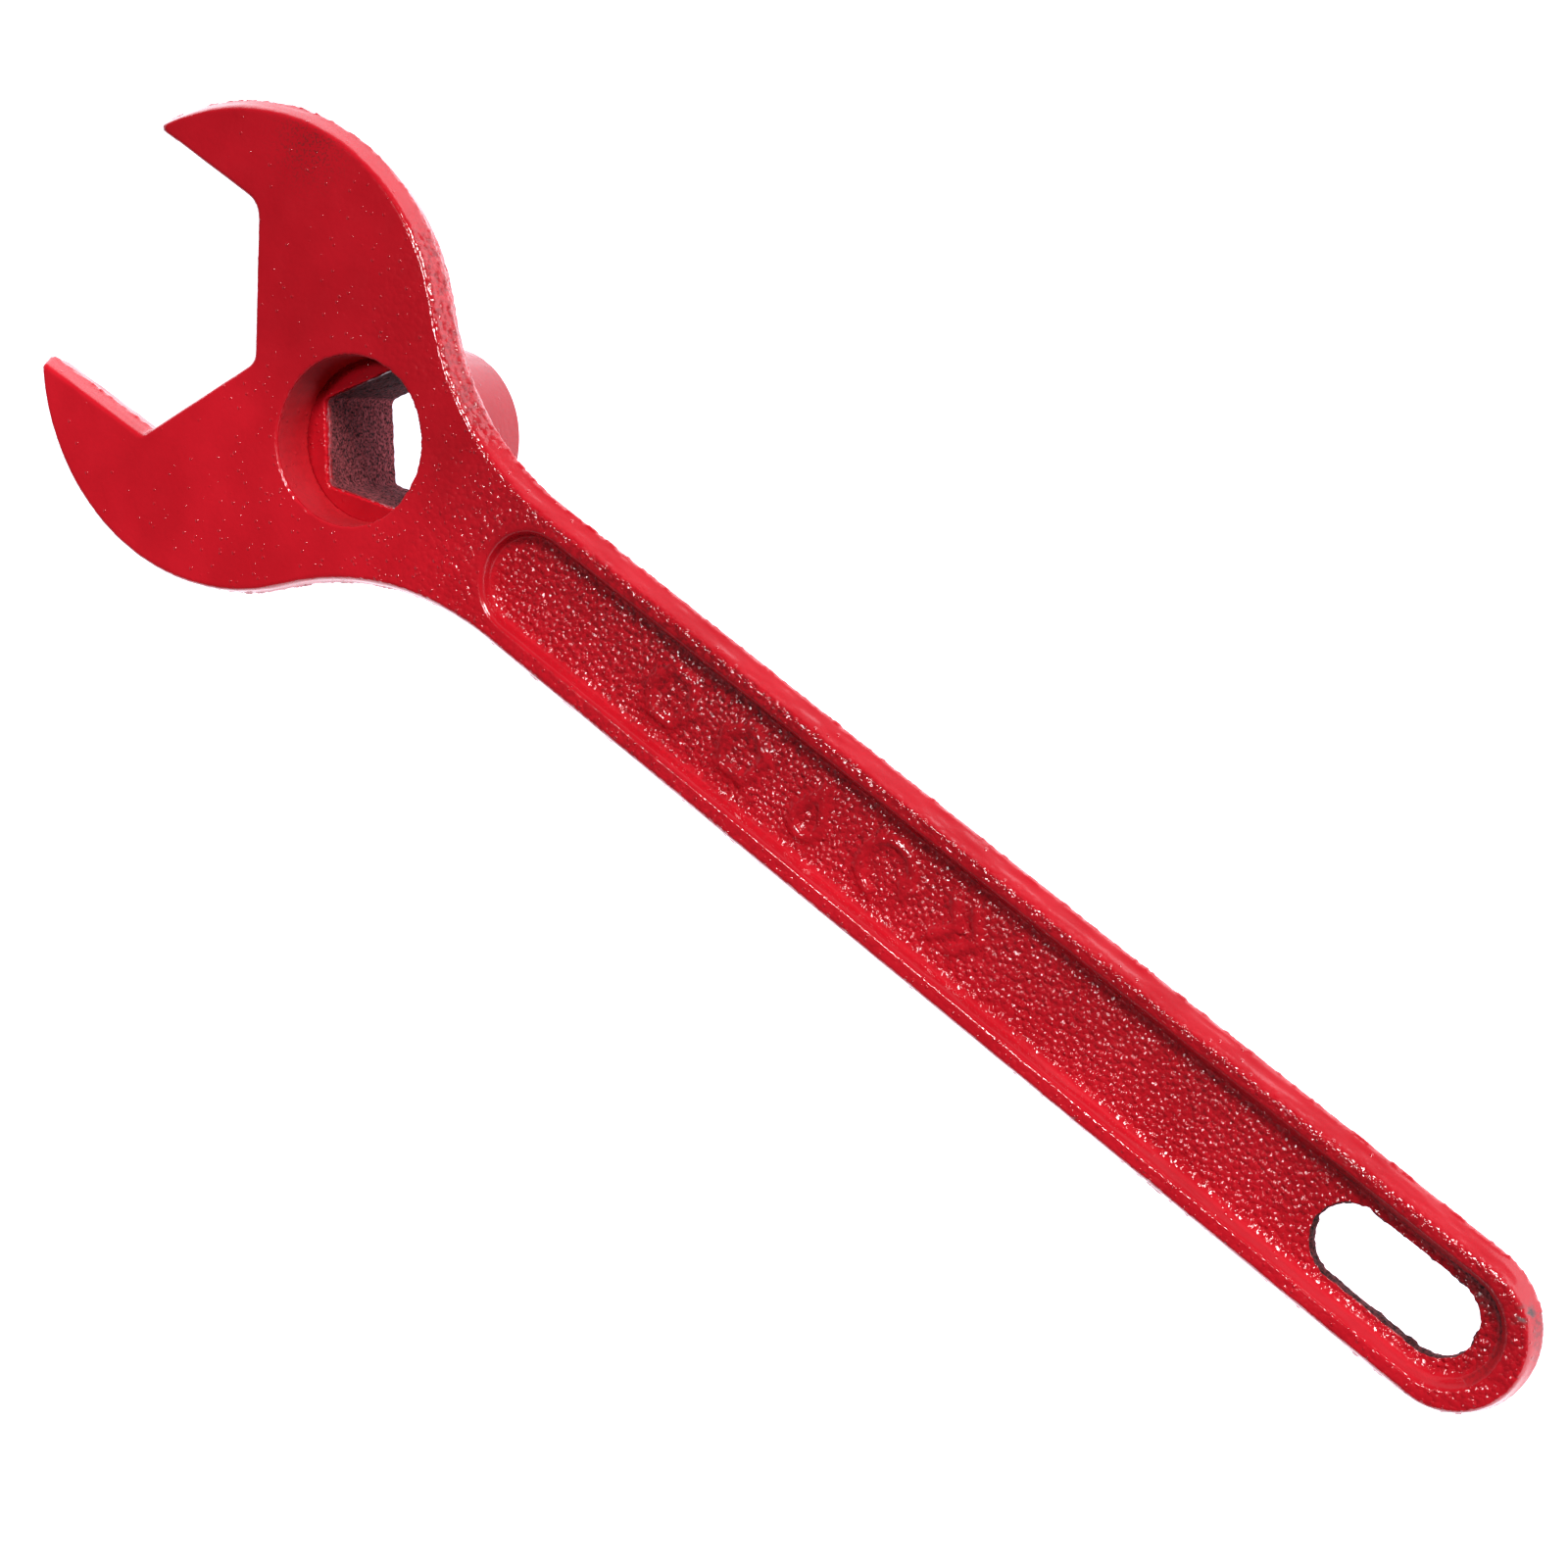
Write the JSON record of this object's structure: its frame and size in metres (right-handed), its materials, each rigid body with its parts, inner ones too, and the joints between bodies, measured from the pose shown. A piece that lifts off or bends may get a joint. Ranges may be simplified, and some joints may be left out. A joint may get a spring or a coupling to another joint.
{
  "type": "fire hydrant wrench",
  "caption": "Cast iron hydrant wrench with an open hexagonal jaw, a five-sided stem socket behind the round head and an I-section handle with a hanging slot.",
  "frame": {"origin": "on the socket's axis, at the barrel's free end, which is the tool's lowest level", "axes": "+X along the handle from the head to its tip, +Y across the head towards the jaw tip on the left seen from the handle, +Z out of the marked front face"},
  "size_m": [0.3666, 0.0997, 0.0369],
  "materials": {
    "red_enamel_casting": "gloss red enamel over a rough sand casting",
    "red_enamel_barrel": "gloss red enamel over a smooth barrel, bore walls nearly bare and dark"
  },
  "bodies": {
    "root": {"wrench_casting": "red_enamel_casting", "socket_barrel": "red_enamel_barrel"}
  },
  "joints": []
}
